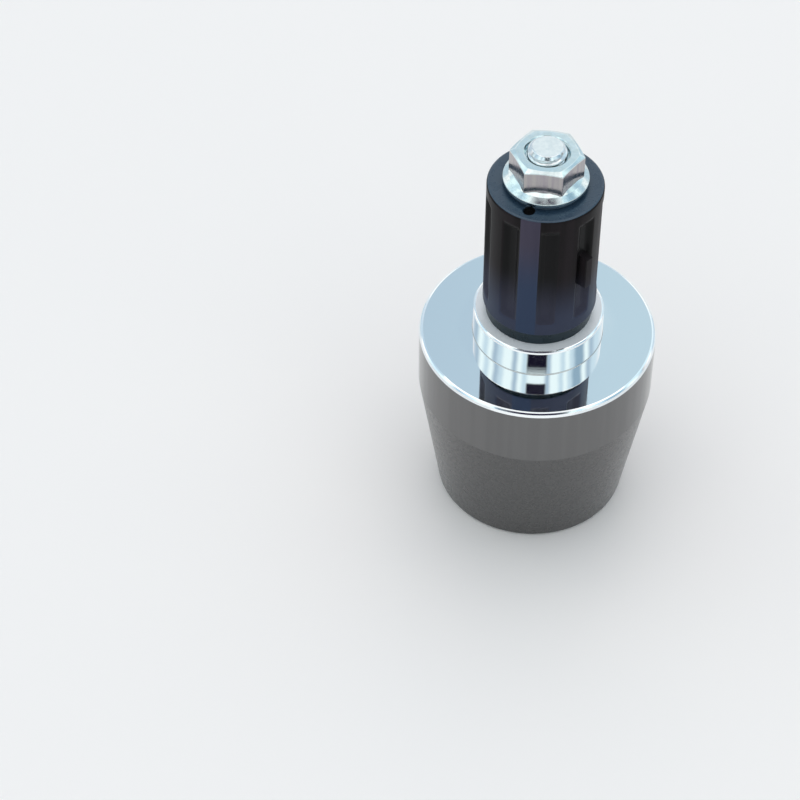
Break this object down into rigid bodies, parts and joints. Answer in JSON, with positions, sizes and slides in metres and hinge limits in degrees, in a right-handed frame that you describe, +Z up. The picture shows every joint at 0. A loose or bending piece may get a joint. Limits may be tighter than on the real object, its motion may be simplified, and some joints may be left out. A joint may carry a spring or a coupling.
{
  "type": "handlebar end plug",
  "caption": "Chrome end weight with a collar, a fluted rubber expander sleeve, a clamp screw and a flange nut that squeezes the sleeve to grip inside a handlebar.",
  "frame": {"origin": "on the axis of the screw, in the plane of the flat rim of the small end, where the plug stands", "axes": "+Z up the axis of the screw, from the dished small end to the nut; the sleeve's key lies between -Y and +X, 43 degrees from -Y"},
  "size_m": [0.0381, 0.038, 0.0728],
  "materials": {
    "chrome_plate": "bright chrome on a steel turning, with a finely blasted cone",
    "sleeve_rubber": "moulded black rubber, satin",
    "screw_steel": "bright zinc plate",
    "nut_zinc": "bright zinc plate"
  },
  "bodies": {
    "weight": {"end_weight": "chrome_plate", "expander_sleeve": "sleeve_rubber"},
    "screw": {"clamp_screw": "screw_steel"},
    "nut": {"flange_nut": "nut_zinc"}
  },
  "joints": [
    {"name": "screw_turn", "type": "hinge", "parent": "weight", "child": "screw", "pos_m": [0, 0, 0.0062], "axis": [0, 0, 1], "range_deg": [0, 1080]},
    {"name": "nut_draw", "type": "slide", "parent": "weight", "child": "nut", "axis": [0, 0, -1], "range_m": [0, 0.003], "deforming": ["expander_sleeve"]}
  ],
  "couplings": [
    {"joint": "nut_draw", "follows": "screw_turn", "m_per_rad": 0.00015915}
  ]
}
